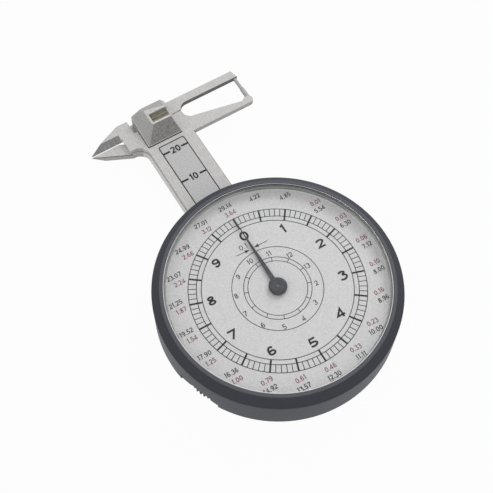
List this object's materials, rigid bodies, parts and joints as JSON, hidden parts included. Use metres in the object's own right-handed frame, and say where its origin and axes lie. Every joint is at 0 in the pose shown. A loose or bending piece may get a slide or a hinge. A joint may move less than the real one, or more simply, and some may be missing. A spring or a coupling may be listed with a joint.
{
  "type": "dial gemstone gauge",
  "caption": "Round dial gauge with a sliding beam, crossed inside blades and outside pin jaws, moved by a thumb wheel through racks and gears.",
  "frame": {"origin": "on the dial's axis, at the flat back that the gauge rests on", "axes": "+Z out of the dial, +Y along the beam towards the jaws, +X to the right of the dial"},
  "size_m": [0.062, 0.0973, 0.0153],
  "materials": {
    "case_plastic": "satin moulded",
    "bezel_black": "satin black",
    "clear_crystal": "polished clear",
    "dial_silver": "fine matt, printed",
    "satin_steel": "bead blasted satin",
    "scale_grey": "matt, printed",
    "pin_steel": "polished",
    "screw_steel": "turned",
    "brass": "satin",
    "pointer_grey": "satin",
    "thumb_black": "moulded",
    "spring_bronze": "oxidised"
  },
  "bodies": {
    "case": {"case_body": "case_plastic", "back_cover": "case_plastic", "back_screws": "screw_steel", "main_plate": "brass", "plate_screws": "screw_steel", "dial_spacer": "case_plastic", "dial_plate": "dial_silver", "crystal": "clear_crystal", "bezel": "bezel_black", "bridge_plate": "brass", "bridge_pillars": "screw_steel", "bridge_screws": "screw_steel", "arbor_bushes": "brass", "fixed_beam": "satin_steel", "beam_posts": "screw_steel", "beam_screws": "screw_steel", "stop_stud": "pin_steel", "far_head": "satin_steel", "head_screws": "screw_steel", "socket_spring": "spring_bronze", "far_pin": "pin_steel", "idler_stud": "pin_steel", "thumb_axle": "pin_steel"},
    "slider": {"slider_beam": "satin_steel", "scale_strip": "scale_grey", "near_pin": "pin_steel", "pointer_rack": "brass", "thumb_rack": "brass", "rack_rivets": "screw_steel"},
    "pinion": {"pinion_arbor": "pin_steel", "rack_pinion": "brass", "transfer_gear": "brass"},
    "pointer": {"centre_arbor": "pin_steel", "centre_pinion": "brass", "pointer_hub": "pointer_grey", "pointer_hand": "pointer_grey"},
    "idler": {"idler_gear": "brass"},
    "thumb": {"thumb_wheel": "thumb_black", "thumb_gear": "brass"}
  },
  "joints": [
    {"name": "slider_slide", "type": "slide", "parent": "case", "child": "slider", "axis": [0, -1, 0], "range_m": [0, 0.022]},
    {"name": "pinion_turn", "type": "hinge", "parent": "case", "child": "pinion", "pos_m": [0.009, 0, 0], "axis": [0, 0, 1], "range_deg": [0, 397]},
    {"name": "pointer_turn", "type": "hinge", "parent": "case", "child": "pointer", "pos_m": [0, 0, 0], "axis": [0, 0, 1], "range_deg": [-793, 0]},
    {"name": "idler_turn", "type": "hinge", "parent": "case", "child": "idler", "pos_m": [-0.01402, 0.00174, 0], "axis": [0, 0, 1], "range_deg": [-158, 0]},
    {"name": "thumb_turn", "type": "hinge", "parent": "case", "child": "thumb", "pos_m": [-0.02189, -0.00797, 0], "axis": [0, 0, 1], "range_deg": [0, 281]}
  ],
  "couplings": [
    {"joint": "pinion_turn", "follows": "slider_slide", "rad_per_m": 314.16},
    {"joint": "pointer_turn", "follows": "slider_slide", "rad_per_m": -628.32},
    {"joint": "idler_turn", "follows": "slider_slide", "rad_per_m": -125},
    {"joint": "thumb_turn", "follows": "slider_slide", "rad_per_m": 222.22}
  ]
}
